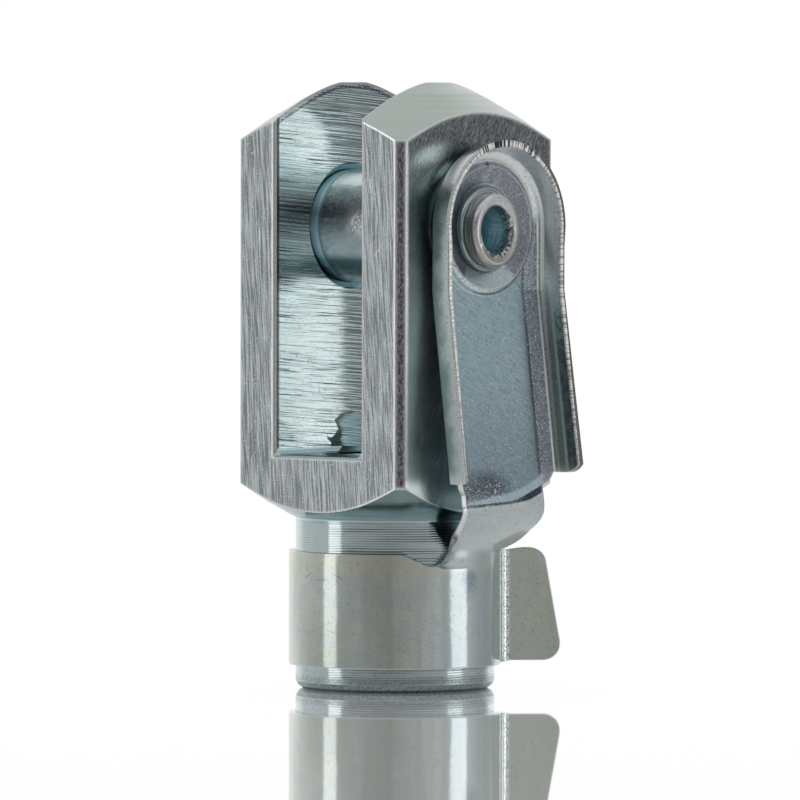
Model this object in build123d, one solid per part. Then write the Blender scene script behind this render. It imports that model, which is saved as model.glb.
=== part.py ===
from build123d import *
import os
from math import cos, radians, sin, tan

# A clevis rod end: a fork head of square bar, a pin across its ears and a
# spring clip that is riveted to the pin and snaps round the neck.
# Millimetres. The origin is the centre of the neck's bottom face, +Z runs up
# the thread axis and +X along the pin, towards the clip.

# Fork head
BAR_SIDE = 16.0
BAR_CHAMFER = 0.58
TOTAL_HEIGHT = 42.6
PIN_HEIGHT = 32.5
SLOT_WIDTH = 8.2
SLOT_BASE_HEIGHT = 16.5
SLOT_CORNER_RADIUS = 0.5
SLOT_EDGE_BREAK = 0.2
NECK_RADIUS = 7.0
NECK_HEIGHT = 12.0
NECK_CHAMFER = 0.55
CHAMFER_BULGE = 0.1
SHOULDER_HEIGHT = 14.4
CROWN_CORNER_HEIGHT = 38.6
CROWN_FLAT_RADIUS = 4.3
CROWN_BULGE = 0.18
BORE_RADIUS = 4.0
BORE_CHAMFER = 0.5
TAP_BORE_RADIUS = 3.4
TAP_COUNTERSINK = 0.75

# Clevis pin
PIN_CLEARANCE = 0.04
PIN_OVERHANG = 1.3
PIN_CHAMFER = 0.9
SHOULDER_RADIUS = 3.5
SPIGOT_RADIUS = 2.6
RIVET_BEAD_RADIUS = 2.92
RIVET_BEAD_HEIGHT = 0.3
RIVET_TUBE_RADIUS = 2.76
RIVET_TUBE_HEIGHT = 0.9
RIVET_LIP_RADIUS = 2.3
RIVET_LIP_BULGE = 0.08
RIVET_LIP_ROUND = 0.1
RIVET_HEIGHT = 1.25
RIVET_HOLE_RADIUS = 1.8
RIVET_HOLE_DEPTH = 3.2

# Spring clip
SHEET = 0.45
CLIP_GAP = 0.15
BOSS_RADIUS = 4.45
BOSS_FOOT_RADIUS = 4.8
BOSS_HEIGHT = 0.4
BOSS_DISH = 0.5
BOSS_SEAT_RADIUS = 3.05
BOSS_CREST_ROUND = 0.15
WEB_HALF_WIDTH = 4.0
BEVEL_ANGLE = 15.8
BEND_RADIUS = 0.4
HEAD_HALF_WIDTH = 5.855
HEAD_FLARE = 10.7
WAIST_FLARE = 6.0
FOOT_FLARE = 18.7
FLANGE_HEIGHT = 2.45
LEAN_START_HEIGHT = 28.1
LEAN_SLOPE = 0.13
FRONT_FLANGE_END = 14.8
FRONT_FLANGE_ROOT = 4.35
FRONT_CORNER_RADIUS = 0.5
BACK_FLANGE_END = 15.33
BACK_FLANGE_ROOT = 4.95
BACK_CORNER_RADIUS = 1.0
STRIP_SHOULDER = 0.85
CREASE_HEIGHT = 13.6
CREASE_TILT = 0.12
JOGGLE_LAP = 0.05
JOGGLE_INSET = 0.01
# Joggle between channel and collar, as level cuts: height, thickness along X,
# then x, y and facing angle at the front edge, the middle and the back edge
JOGGLE_CUTS = (
    (12.3, 0.50, (10.385, -3.90, 0), (10.395, 0.0, 0), (10.385, 4.0, 0)),
    (11.7, 0.62, (9.83, -3.60, -2), (9.88, 0.0, 0), (9.82, 4.0, 2)),
    (11.1, 0.76, (9.00, -3.05, -5), (9.10, 0.0, 0), (9.00, 4.0, 6)),
    (10.5, 0.76, (8.10, -2.40, -9), (8.22, 0.0, 0), (8.00, 4.15, 15)),
    (10.0, 0.56, (7.40, -2.08, -14), (7.62, 0.2, 3), (6.65, 4.5, 30)),
)
JOGGLE_ROOT_ANGLES = (-17.2, 12.4, 42.0)
COLLAR_CLEARANCE = 0.04
COLLAR_BOTTOM = 1.7
COLLAR_TOP = 9.7
COLLAR_FREE_END = -223.0
COLLAR_TAB_END = 41.0
NOTCH_ANGLE = -27.0
NOTCH_RADIUS = 1.3
NOTCH_RISE = 0.5
NOTCH_LEAD = 2.0
TAB_BEND_RADIUS = 0.7
TAB_TURN = 84.0
TAB_RISE = 0.2
TAB_CREST = 0.16
TAB_TOP_LENGTH = 2.35
TAB_BOTTOM_LENGTH = 3.75
TAB_CORNER_RADIUS = 1.2

HALF_BAR = BAR_SIDE / 2
WEB_BACK = HALF_BAR + CLIP_GAP
WEB_FRONT = WEB_BACK + SHEET
DISH_FRONT = WEB_FRONT + BOSS_HEIGHT - BOSS_DISH
DISH_BACK = DISH_FRONT - SHEET
COLLAR_INNER = NECK_RADIUS + COLLAR_CLEARANCE
COLLAR_OUTER = COLLAR_INNER + SHEET
PIN_AXIS = Plane(origin=(0, 0, PIN_HEIGHT), x_dir=(0, 1, 0), z_dir=(1, 0, 0))


def bulged(start, end, bulge):
    """An arc from start to end whose middle stands out by bulge."""
    start = Vector(*start)
    end = Vector(*end)
    run = end - start
    out = Vector(-run.Y, run.X).normalized() * bulge
    return ThreePointArc(start, (start + end) * 0.5 + out, end)


def runs(arc, count):
    """The arc as that many straight runs, each a cone once it is turned."""
    return [Line(arc @ (i / count), arc @ ((i + 1) / count)) for i in range(count)]


def turned_blank():
    """The form that the lathe gives the bar: neck, shoulder and crown."""
    corner_radius = Vector(HALF_BAR, HALF_BAR - BAR_CHAMFER).length
    waste_radius = corner_radius + 2
    neck_corner = (NECK_RADIUS - NECK_CHAMFER, 0)
    neck_edge = (NECK_RADIUS, NECK_CHAMFER)
    neck_top = (NECK_RADIUS, NECK_HEIGHT)
    shoulder_edge = (corner_radius, SHOULDER_HEIGHT)
    crown_edge = (corner_radius, CROWN_CORNER_HEIGHT)
    crown_top = (CROWN_FLAT_RADIUS, TOTAL_HEIGHT)
    outline = [
        Line((0, 0), neck_corner),
        *runs(bulged(neck_corner, neck_edge, -CHAMFER_BULGE), 2),
        Line(neck_edge, neck_top),
        *runs(bulged(neck_top, shoulder_edge, -CROWN_BULGE / 2), 2),
        Line(shoulder_edge, (waste_radius, SHOULDER_HEIGHT)),
        Line((waste_radius, SHOULDER_HEIGHT), (waste_radius, CROWN_CORNER_HEIGHT)),
        Line((waste_radius, CROWN_CORNER_HEIGHT), crown_edge),
        *runs(bulged(crown_edge, crown_top, -CROWN_BULGE), 3),
        Line(crown_top, (0, TOTAL_HEIGHT)),
        Line((0, TOTAL_HEIGHT), (0, 0)),
    ]
    return revolve(Plane.XZ * make_face(outline), Axis.Z)


def square_bar():
    """The drawn bar with its four long edges broken."""
    section = Rectangle(BAR_SIDE, BAR_SIDE)
    section = chamfer(section.vertices(), BAR_CHAMFER)
    return extrude(section, TOTAL_HEIGHT)


def slot_cutter():
    """The milled slot, with rounded corners at its base."""
    depth = TOTAL_HEIGHT - SLOT_BASE_HEIGHT + 2
    middle = SLOT_BASE_HEIGHT + depth / 2
    cutter = Pos(0, 0, middle) * Box(SLOT_WIDTH, BAR_SIDE + 2, depth)
    base_edges = cutter.edges().filter_by(Axis.Y).group_by(Axis.Z)[0]
    return fillet(base_edges, SLOT_CORNER_RADIUS)


def slot_edge_break():
    """A shallow chamfer where the slot breaks out of the two open faces."""
    reach = SLOT_EDGE_BREAK
    wide = SLOT_WIDTH + 2 * reach
    tall = TOTAL_HEIGHT - SLOT_BASE_HEIGHT + 2
    mouth = Pos(0, SLOT_BASE_HEIGHT - reach + tall / 2) * Rectangle(wide, tall)
    throat = Pos(0, SLOT_BASE_HEIGHT + tall / 2) * Rectangle(SLOT_WIDTH, tall)
    front = Plane(origin=(0, -HALF_BAR, 0), x_dir=(1, 0, 0), z_dir=(0, -1, 0))
    inner = Plane(origin=(0, -HALF_BAR + reach, 0), x_dir=(1, 0, 0), z_dir=(0, -1, 0))
    cutter = loft([inner * throat, front * mouth], ruled=True)
    return [cutter, mirror(cutter, Plane.XZ)]


def countersink(plane, radius, depth):
    """A 45 degree cone that widens a hole where it meets a face."""
    return plane * Pos(0, 0, -depth / 2) * Cone(radius, radius + depth, depth)


def fork_head():
    """Square bar, turned at both ends, slotted, cross-bored and tapped."""
    head = turned_blank() & square_bar()
    head -= slot_cutter()
    for cutter in slot_edge_break():
        head -= cutter
    head -= PIN_AXIS * Cylinder(BORE_RADIUS, BAR_SIDE + 2)
    inner_right = Plane(origin=(SLOT_WIDTH / 2, 0, PIN_HEIGHT), z_dir=(-1, 0, 0))
    inner_left = Plane(origin=(-SLOT_WIDTH / 2, 0, PIN_HEIGHT), z_dir=(1, 0, 0))
    outer_right = Plane(origin=(HALF_BAR, 0, PIN_HEIGHT), z_dir=(1, 0, 0))
    outer_left = Plane(origin=(-HALF_BAR, 0, PIN_HEIGHT), z_dir=(-1, 0, 0))
    for face in (inner_right, inner_left):
        head -= countersink(face, BORE_RADIUS, BORE_CHAMFER)
    for face in (outer_right, outer_left):
        head -= countersink(face, BORE_RADIUS, BORE_CHAMFER / 2)
    head -= Cylinder(TAP_BORE_RADIUS, 2 * SLOT_BASE_HEIGHT + 2)
    bottom = Plane(origin=(0, 0, 0), z_dir=(0, 0, -1))
    slot_base = Plane(origin=(0, 0, SLOT_BASE_HEIGHT), z_dir=(0, 0, 1))
    for face in (bottom, slot_base):
        head -= countersink(face, TAP_BORE_RADIUS, TAP_COUNTERSINK)
    return head


def clevis_pin():
    """Turned pin: shank, shoulder, and a hollow spigot that is riveted over."""
    shank = BORE_RADIUS - PIN_CLEARANCE
    tip = -HALF_BAR - PIN_OVERHANG
    tip_edge = (tip, shank - PIN_CHAMFER)
    shank_start = (tip + PIN_CHAMFER, shank)
    shank_end = (DISH_BACK - (shank - SHOULDER_RADIUS), shank)
    shoulder = (DISH_BACK, SHOULDER_RADIUS)
    end = DISH_FRONT + RIVET_HEIGHT
    bead_foot = (DISH_FRONT, RIVET_TUBE_RADIUS)
    bead_side = (DISH_FRONT + RIVET_BEAD_HEIGHT / 2, RIVET_BEAD_RADIUS)
    bead_top = (DISH_FRONT + RIVET_BEAD_HEIGHT, RIVET_TUBE_RADIUS)
    tube_top = (DISH_FRONT + RIVET_TUBE_HEIGHT, RIVET_TUBE_RADIUS)
    lip_outside = (end - RIVET_LIP_ROUND, RIVET_LIP_RADIUS)
    lip_crest = (end, (RIVET_HOLE_RADIUS + RIVET_LIP_RADIUS) / 2)
    lip_inside = (end - RIVET_LIP_ROUND, RIVET_HOLE_RADIUS)
    hole_bottom = end - RIVET_HOLE_DEPTH
    outline = [
        Line((tip, 0), tip_edge),
        Line(tip_edge, shank_start),
        Line(shank_start, shank_end),
        Line(shank_end, shoulder),
        Line(shoulder, (DISH_BACK, SPIGOT_RADIUS)),
        Line((DISH_BACK, SPIGOT_RADIUS), (DISH_FRONT, SPIGOT_RADIUS)),
        Line((DISH_FRONT, SPIGOT_RADIUS), bead_foot),
        *runs(ThreePointArc(bead_foot, bead_side, bead_top), 3),
        Line(bead_top, tube_top),
        *runs(bulged(tube_top, lip_outside, RIVET_LIP_BULGE), 2),
        *runs(ThreePointArc(lip_outside, lip_crest, lip_inside), 4),
        Line(lip_inside, (hole_bottom, RIVET_HOLE_RADIUS)),
        Line((hole_bottom, RIVET_HOLE_RADIUS), (hole_bottom - 1, 0)),
        Line((hole_bottom - 1, 0), (tip, 0)),
    ]
    return Pos(0, 0, PIN_HEIGHT) * revolve(make_face(outline), Axis.X)


def lean(height):
    """How far the channel stands off the ear at a height."""
    return max(0.0, LEAN_START_HEIGHT - height) * LEAN_SLOPE


def half_channel(back, flare):
    """Points of one side of the channel in plan: outside first, then inside."""
    bevel = radians(BEVEL_ANGLE)
    turn = radians(90 - flare)
    outer = BEND_RADIUS + SHEET
    edge_x = back + FLANGE_HEIGHT
    centre_y = HEAD_HALF_WIDTH - outer
    bevel_run = centre_y + BEND_RADIUS * sin(bevel) - WEB_HALF_WIDTH
    centre_x = back + SHEET + BEND_RADIUS * cos(bevel) + bevel_run * tan(bevel)

    def side(radius, web_x):
        def on_bend(angle):
            return (centre_x - radius * cos(angle), centre_y + radius * sin(angle))

        start_x, start_y = on_bend(bevel)
        foot_x, foot_y = on_bend(turn)
        web = (web_x, start_y - (start_x - web_x) / tan(bevel))
        rim = (edge_x, foot_y + (edge_x - foot_x) / tan(turn))
        return [web, (start_x, start_y), on_bend((bevel + turn) / 2), (foot_x, foot_y), rim]

    return side(outer, back), side(BEND_RADIUS, back + SHEET)


def half_outline(outside, inside):
    """The edges round one side of the channel, apart from the web's middle."""
    return [
        Line(outside[0], outside[1]),
        ThreePointArc(*outside[1:4]),
        Line(outside[3], outside[4]),
        Line(outside[4], inside[4]),
        Line(inside[4], inside[3]),
        ThreePointArc(*inside[3:0:-1]),
        Line(inside[1], inside[0]),
    ]


def channel_section(height, flare):
    """The sheet's U section, seen from above, at a height."""
    outside, inside = half_channel(WEB_BACK + lean(height), flare)

    def placed(points, sign):
        return [(x, sign * y, height) for x, y in points]

    back = half_outline(placed(outside, 1), placed(inside, 1))
    front = half_outline(placed(outside, -1), placed(inside, -1))
    back_web = Line(back[0] @ 0, front[0] @ 0)
    front_web = Line(back[-1] @ 1, front[-1] @ 1)
    return make_face(back + [front_web] + front + [back_web])


def clip_head():
    """The round drawn head: a flat web, a bevel and an upright rim."""
    outside, inside = half_channel(WEB_BACK, HEAD_FLARE)
    edges = [
        Line((WEB_BACK, 0), outside[0]),
        *half_outline(outside, inside),
        Line(inside[0], (WEB_FRONT, 0)),
        Line((WEB_FRONT, 0), (WEB_BACK, 0)),
    ]
    cup = revolve(make_face(edges), Axis.X, revolution_arc=180)
    return Pos(0, 0, PIN_HEIGHT) * cup


def boss_profile(offset):
    """The dished boss in section: x against radius, moved back by offset."""
    behind = WEB_BACK - 1
    dish = DISH_FRONT - offset
    crest = WEB_FRONT + BOSS_HEIGHT - offset
    narrowing = offset * 0.6
    rim = BOSS_RADIUS - narrowing
    foot = (WEB_FRONT - offset, BOSS_FOOT_RADIUS - narrowing)
    rim_inside = (crest, rim - BOSS_CREST_ROUND)
    rim_outside = (crest - BOSS_CREST_ROUND, rim + BOSS_CREST_ROUND)
    return make_face([
        Line((behind, 0), (dish, 0)),
        Line((dish, 0), (dish, BOSS_SEAT_RADIUS)),
        Line((dish, BOSS_SEAT_RADIUS), rim_inside),
        Line(rim_inside, rim_outside),
        Line(rim_outside, foot),
        Line(foot, (behind, foot[1])),
        Line((behind, foot[1]), (behind, 0)),
    ])


def clip_boss(head):
    """Raise the boss that the pin's end seats in, and pierce it."""
    raised = Pos(0, 0, PIN_HEIGHT) * revolve(boss_profile(0), Axis.X)
    hollow = Pos(0, 0, PIN_HEIGHT) * revolve(boss_profile(SHEET), Axis.X)
    seat = PIN_AXIS * Pos(0, 0, DISH_BACK) * extrude(Circle(BOSS_SEAT_RADIUS), SHEET / 2)
    ear_side = Pos(WEB_BACK - 5, 0, PIN_HEIGHT) * Box(10, 20, 20)
    pierced = head - PIN_AXIS * Cylinder(BOSS_RADIUS, 40)
    boss = pierced + (raised - ear_side) - hollow + seat
    return boss - PIN_AXIS * Cylinder(SPIGOT_RADIUS, 40)


def clip_channel():
    """The channel below the head: it leans off the ear and its flanges flare."""
    foot = CREASE_HEIGHT - 1
    middle = (LEAN_START_HEIGHT + foot) / 2
    upper = [
        channel_section(PIN_HEIGHT, HEAD_FLARE),
        channel_section(PIN_HEIGHT - 1.4, WAIST_FLARE),
        channel_section(LEAN_START_HEIGHT, WAIST_FLARE),
    ]
    lower = [
        channel_section(LEAN_START_HEIGHT, WAIST_FLARE),
        channel_section(middle, (WAIST_FLARE + FOOT_FLARE) / 2),
        channel_section(foot, FOOT_FLARE),
    ]
    return loft(upper, ruled=True) + loft(lower, ruled=True)


def flange_trim(sign, end_height, root, corner_radius):
    """What is cut away beside and below the end of one flange."""
    low = CREASE_HEIGHT - 3
    wide = HEAD_HALF_WIDTH + 3
    half = WEB_HALF_WIDTH
    shoulder_height = end_height - STRIP_SHOULDER
    knee = (half + 0.63 * (root - half), end_height - 0.6 * STRIP_SHOULDER)
    outline = [
        Line((wide, low), (wide, end_height)),
        Line((wide, end_height), (root, end_height)),
        ThreePointArc((root, end_height), knee, (half, shoulder_height)),
        Line((half, shoulder_height), (half, low)),
        Line((half, low), (wide, low)),
    ]
    cutter = Plane.YZ * extrude(make_face(outline), 20)
    edge_x = WEB_BACK + lean(end_height) + FLANGE_HEIGHT
    inset = corner_radius / 2
    corner = Pos(edge_x - inset, end_height + inset) * Rectangle(corner_radius, corner_radius)
    corner -= Pos(edge_x - corner_radius, end_height + corner_radius) * Circle(corner_radius)
    corner += Pos(edge_x + 1, end_height) * Rectangle(2, 2 * corner_radius)
    cutter += Plane.XZ * extrude(corner, -wide)
    return cutter if sign > 0 else mirror(cutter, Plane.XZ)


def through(start, middle, end):
    """An arc through three points, or a line where the middle is on it."""
    if ((start + end) * 0.5 - middle).length < 1e-6:
        return Line(start, end)
    return ThreePointArc(start, middle, end)


def strip_section(height, tilt, thickness, stations):
    """The strip cut by a near-level plane, through its edges and its middle."""

    def lifted(x, y):
        return Vector(x, y, height + tilt * y)

    front, middle, back = [lifted(x, y) for x, y, _ in stations]
    inner = []
    for x, y, facing in stations:
        angle = radians(facing)
        inner.append(lifted(x - thickness * cos(angle), y - thickness * sin(angle)))
    front_in, middle_in, back_in = inner
    edges = [
        through(front, middle, back),
        Line(back, back_in),
        through(back_in, middle_in, front_in),
        Line(front_in, front),
    ]
    return make_face(edges)


def joggle():
    """The strip steps in from the flat web to the round collar."""
    flat = WEB_FRONT + lean(CREASE_HEIGHT)
    slope = LEAN_SLOPE * CREASE_TILT * WEB_HALF_WIDTH
    half = WEB_HALF_WIDTH
    at_crease = [(flat + slope, -half, 0), (flat, 0, 0), (flat - slope, half, 0)]
    root = COLLAR_OUTER - JOGGLE_INSET
    at_collar = []
    for facing in JOGGLE_ROOT_ANGLES:
        angle = radians(facing)
        at_collar.append((root * cos(angle), root * sin(angle), facing))
    sections = [strip_section(CREASE_HEIGHT, CREASE_TILT, SHEET, at_crease)]
    for height, thickness, *stations in JOGGLE_CUTS:
        sections.append(strip_section(height, 0, thickness, stations))
    sections.append(strip_section(COLLAR_TOP - 2 * JOGGLE_LAP, 0, SHEET - 2 * JOGGLE_INSET, at_collar))
    return loft(sections)


def collar_plan():
    """The collar's band and its thumb tab, seen from above."""
    middle_radius = COLLAR_INNER + SHEET / 2
    sweep_angle = COLLAR_TAB_END - COLLAR_FREE_END
    ring = CenterArc((0, 0), middle_radius, COLLAR_FREE_END, sweep_angle)
    turn = JernArc(ring @ 1, ring % 1, TAB_BEND_RADIUS + SHEET / 2, -TAB_TURN)
    tab = Line(turn @ 1, (turn @ 1) + (turn % 1) * (TAB_BOTTOM_LENGTH + 1))
    return trace([ring, turn, tab], line_width=SHEET), turn


def tab_outline():
    """The tab's face: level below, slightly crowned above, two round corners."""
    top = COLLAR_TOP + TAB_CREST
    bottom = COLLAR_BOTTOM + TAB_RISE
    outline = make_face(Polyline(
        (-1, COLLAR_BOTTOM),
        (0, bottom),
        (TAB_BOTTOM_LENGTH, bottom),
        (TAB_TOP_LENGTH, top),
        (TAB_TOP_LENGTH / 3, top),
        (-0.4, COLLAR_TOP),
        (-1, COLLAR_TOP),
        close=True,
    ))
    tips = [vertex for vertex in outline.vertices() if vertex.X > TAB_TOP_LENGTH / 2]
    return fillet(tips, TAB_CORNER_RADIUS)


def collar():
    """C shaped collar that snaps round the neck, with its thumb tab."""
    plan, turn = collar_plan()
    tall = COLLAR_TOP - COLLAR_BOTTOM
    band = Pos(0, 0, COLLAR_BOTTOM) * extrude(plan, tall + TAB_CREST)
    band -= Pos(0, 0, COLLAR_TOP + 1) * Cylinder(COLLAR_OUTER + 0.01, 2)
    start = turn @ 1
    away = turn % 1
    face = Plane(origin=(start.X, start.Y, 0), x_dir=away, z_dir=away.cross(Vector(0, 0, 1)))
    window = Pos(2, COLLAR_BOTTOM + tall / 2) * Rectangle(6, tall + 2)
    waste = face * extrude(window - tab_outline(), 2, both=True)
    return band - waste


def collar_notch():
    """The relief cut beside the strip's root in the collar's upper edge."""
    angle = radians(NOTCH_ANGLE)
    out = Vector(cos(angle), sin(angle), 0)
    along = Vector(-sin(angle), cos(angle), 0)
    face = Plane(origin=(0, 0, COLLAR_TOP), x_dir=along, z_dir=out)
    outline = Pos(0, NOTCH_RISE) * Circle(NOTCH_RADIUS)
    outline += make_face(Polyline(
        (-NOTCH_LEAD, 0),
        (-NOTCH_LEAD / 2, NOTCH_RISE - NOTCH_RADIUS / 1.37),
        (0, NOTCH_RISE),
        (-NOTCH_LEAD, NOTCH_RISE),
        close=True,
    ))
    return face * extrude(outline, 12)


def spring_clip():
    """One stamped sheet: drawn head, leaning channel, joggle, collar and tab."""
    channel = clip_channel()
    channel -= flange_trim(-1, FRONT_FLANGE_END, FRONT_FLANGE_ROOT, FRONT_CORNER_RADIUS)
    channel -= flange_trim(1, BACK_FLANGE_END, BACK_FLANGE_ROOT, BACK_CORNER_RADIUS)
    foot = (0, 0, CREASE_HEIGHT - JOGGLE_LAP)
    crease = Plane(origin=foot, x_dir=(1, 0, 0), z_dir=(0, -CREASE_TILT, 1))
    channel -= crease * Pos(0, 0, -5) * Box(60, 60, 10)
    clip = clip_boss(clip_head() + channel)
    clip += joggle()
    clip += collar() - collar_notch()
    return clip


if __name__ == "__main__":
    os.makedirs("parts", exist_ok=True)
    export_step(fork_head(), "parts/fork_head.step")
    export_step(clevis_pin(), "parts/clevis_pin.step")
    export_step(spring_clip(), "parts/spring_clip.step")
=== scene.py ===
import bpy
import bmesh
import random
from math import cos, pi, radians, sin
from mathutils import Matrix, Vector


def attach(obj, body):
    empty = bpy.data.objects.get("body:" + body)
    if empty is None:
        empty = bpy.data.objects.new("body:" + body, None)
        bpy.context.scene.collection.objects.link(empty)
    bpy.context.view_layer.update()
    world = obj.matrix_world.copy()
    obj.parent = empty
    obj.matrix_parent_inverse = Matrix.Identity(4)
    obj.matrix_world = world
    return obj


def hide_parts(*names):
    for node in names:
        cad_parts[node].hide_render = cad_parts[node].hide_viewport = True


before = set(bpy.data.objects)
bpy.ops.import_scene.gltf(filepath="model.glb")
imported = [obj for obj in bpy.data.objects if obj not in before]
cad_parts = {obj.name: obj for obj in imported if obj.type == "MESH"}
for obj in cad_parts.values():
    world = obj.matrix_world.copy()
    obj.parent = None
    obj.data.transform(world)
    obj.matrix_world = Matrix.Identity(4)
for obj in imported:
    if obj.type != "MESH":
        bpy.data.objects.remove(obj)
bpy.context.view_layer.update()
MM = 0.001


# Fork head. Square bar of free-cutting steel, turned at both ends, slotted with a side mill,
# cross-bored and tapped M8, then zinc plated and blue passivated. Its faces keep the marks of
# the tools that cut them: drawn outside, milled in the slot, turned on crown, cone and neck.

HALF_BAR = 8.0
HALF_SLOT = 4.1
SLOT_BASE = 16.5
NECK_TOP = 12.0
NECK_RADIUS = 7.0
CROWN_START = 38.0
CROWN_TOP = 42.68
CROWN_FLAT = 4.3
CROWN_SLOPE = 0.57
PIN_HEIGHT = 32.5
COUNTERSINK_RADIUS = 4.15
THREAD_PITCH = 1.25
THREAD_MINOR_RADIUS = 3.35
THREAD_MAJOR_RADIUS = 4.0
THREAD_CREST = 0.125
THREAD_FLANK = 0.6
THREAD_SIDES = 72
THREAD_RINGS = 264
LATHE_FEED = 0.17
WELD_DISTANCE = 0.0005
FORK_CREASE_ANGLE = 20
BEVEL_SAMPLES = 6

# Two painted highlights on the ear beside the clip: place (Y, Z), size and the cosine and sine of
# the tilt. The pool is the slot floor's tone: pale, then painted shade and the teal of the walls'
# stain towards the right.
GLEAM_PLACE, GLEAM_SIZE, GLEAM_TILT = (-5.0, 37.6), (2.6, 0.9), (0.95, 0.30)
GLINT_PLACE, GLINT_SIZE, GLINT_TILT = (-3.5, 36.6), (1.5, 0.42), (0.82, 0.57)
POOL_START = -5.0
POOL_MIDDLE = -3.8
STAIN_START = -2.5
STAIN_HEIGHT = 3.1

# Directions of the brush marks (sideways for each millimetre up), of the drawn grain (cosine and
# sine) and of the right hand as seen over the corner between the front and the clip's side.
BRUSH_SLANT = 0.07
DRAWN_GRAIN = (0.84, 0.54)
RIGHTWARD = (0.73, 0.68)

WHITE = (1.0, 1.0, 1.0)
EDGE_WHITE = (0.98, 1.0, 1.0)
SCRATCH_WHITE = (0.97, 1.0, 1.0)
ICE_WHITE = (0.86, 1.0, 1.0)
PALE_STEEL = (0.96, 0.98, 0.98)
BRUSHED_COOL, BRUSHED_GREY = (0.235, 0.27, 0.285), (0.27, 0.28, 0.30)
BRUSHED_LIGHT, BRUSHED_DENT = (0.62, 0.665, 0.685), (0.17, 0.19, 0.21)
DRAWN_SHADE_DARK, DRAWN_SHADE_GREY = (0.095, 0.100, 0.115), (0.27, 0.285, 0.30)
DRAWN_LIT_PALE, DRAWN_SHADE_TEAL = (0.80, 0.96, 0.94), (0.42, 0.58, 0.58)
MILLED_BLUE, MILLED_WHITE = (0.60, 0.77, 0.81), (0.94, 1.0, 1.0)
MILLED_SHADE, MILLED_PIN_SHADE = (0.10, 0.17, 0.19), (0.16, 0.27, 0.28)
POOL_PALE, POOL_SHADE, POOL_TEAL = (0.90, 1.0, 0.94), (0.03, 0.06, 0.05), (0.24, 0.42, 0.44)
STAIN_TEAL, STAIN_FOOT, STAIN_EDGE = (0.36, 0.54, 0.58), (0.035, 0.065, 0.06), (0.14, 0.165, 0.17)
CORNER_DARK, CORNER_GREY = (0.14, 0.13, 0.16), (0.38, 0.37, 0.40)
TURNED_BLUE, TURNED_LIGHT = (0.46, 0.61, 0.65), (0.52, 0.65, 0.69)
NECK_SHADED_LEFT, NECK_LIT_RIGHT = (0.52, 0.59, 0.60), (0.70, 0.77, 0.79)
NECK_END_DARK, NECK_END_LIGHT = (0.34, 0.40, 0.42), (0.60, 0.67, 0.68)
CROWN_GREEN, CROWN_LINE = (0.60, 0.65, 0.62), (0.36, 0.39, 0.38)


class Link:
    """A node's socket that takes part in sums: each operator adds one Math node."""

    def __init__(self, nodes, socket):
        self.nodes = nodes
        self.socket = socket

    def math(self, operation, *values):
        return self.nodes.add("ShaderNodeMath", {"operation": operation}, dict(enumerate(values)))

    def __add__(self, other):
        return self.math("ADD", self, other)

    def __sub__(self, other):
        return self.math("SUBTRACT", self, other)

    def __mul__(self, other):
        return self.math("MULTIPLY", self, other)

    def __truediv__(self, other):
        return self.math("DIVIDE", self, other)

    def __pow__(self, other):
        return self.math("POWER", self, other)

    def __gt__(self, other):
        return self.math("GREATER_THAN", self, other)

    def __lt__(self, other):
        return self.math("LESS_THAN", self, other)

    def __radd__(self, other):
        return self.math("ADD", other, self)

    def __rsub__(self, other):
        return self.math("SUBTRACT", other, self)

    def __rmul__(self, other):
        return self.math("MULTIPLY", other, self)

    def __abs__(self):
        return self.math("ABSOLUTE", self)

    def at_least(self, other):
        return self.math("MAXIMUM", self, other)

    def at_most(self, other):
        return self.math("MINIMUM", self, other)

    def sine(self):
        return self.math("SINE", self)

    def angle(self, base):
        """The angle of a direction with this height above that base."""
        return self.math("ARCTAN2", self, base)

    def fraction(self):
        return self.math("FRACT", self)

    def rise(self, low, high):
        """0 below low and 1 above high, with a smooth step between them."""
        ends = {"Value": self, "From Min": low, "From Max": high}
        return self.nodes.add("ShaderNodeMapRange", {"interpolation_type": "SMOOTHSTEP"}, ends)

    def near(self, value, reach):
        """1 at a value and 0 further than reach from it."""
        return 1 - abs(self - value).rise(0, reach)


class Nodes:
    """Adds nodes to a node tree and joins them."""

    def __init__(self, tree):
        self.tree = tree

    def add(self, kind, settings=None, values=None, out=0):
        node = self.tree.nodes.new(kind)
        for name, value in (settings or {}).items():
            if name == "stops":
                self.set_stops(node.color_ramp, value)
            else:
                setattr(node, name, value)
        for key, value in (values or {}).items():
            if isinstance(value, Link):
                self.tree.links.new(value.socket, node.inputs[key])
            else:
                node.inputs[key].default_value = value
        return Link(self, node.outputs[out]) if node.outputs else node

    def set_stops(self, ramp, stops):
        while len(ramp.elements) < len(stops):
            ramp.elements.new(1)
        for element, (place, colour) in zip(ramp.elements, stops):
            element.position = place
            element.color = (*colour, 1)

    def vector(self, x, y, z):
        return self.add("ShaderNodeCombineXYZ", None, {"X": x, "Y": y, "Z": z})

    def axes(self, vector):
        return [self.add("ShaderNodeSeparateXYZ", None, {0: vector}, out) for out in range(3)]

    def vector_math(self, operation, values, out=0):
        return self.add("ShaderNodeVectorMath", {"operation": operation}, values, out)

    def dot(self, first, second):
        """How far two directions point the same way."""
        return self.vector_math("DOT_PRODUCT", {0: first, 1: second}, "Value")

    def noise(self, vector, scale=1.0, detail=2.0, roughness=0.5):
        values = {"Vector": vector, "Scale": scale, "Detail": detail, "Roughness": roughness}
        return self.add("ShaderNodeTexNoise", None, values)

    def blend(self, factor, first, second):
        """Two colours mixed by a factor. A Mix node's colours are its sockets 6, 7 and out 2."""
        colours = [value if isinstance(value, Link) else (*value, 1) for value in (first, second)]
        values = {0: factor, 6: colours[0], 7: colours[1]}
        return self.add("ShaderNodeMix", {"data_type": "RGBA"}, values, out=2)


def distance(across, up):
    return (across * across + up * up) ** 0.5


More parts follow.
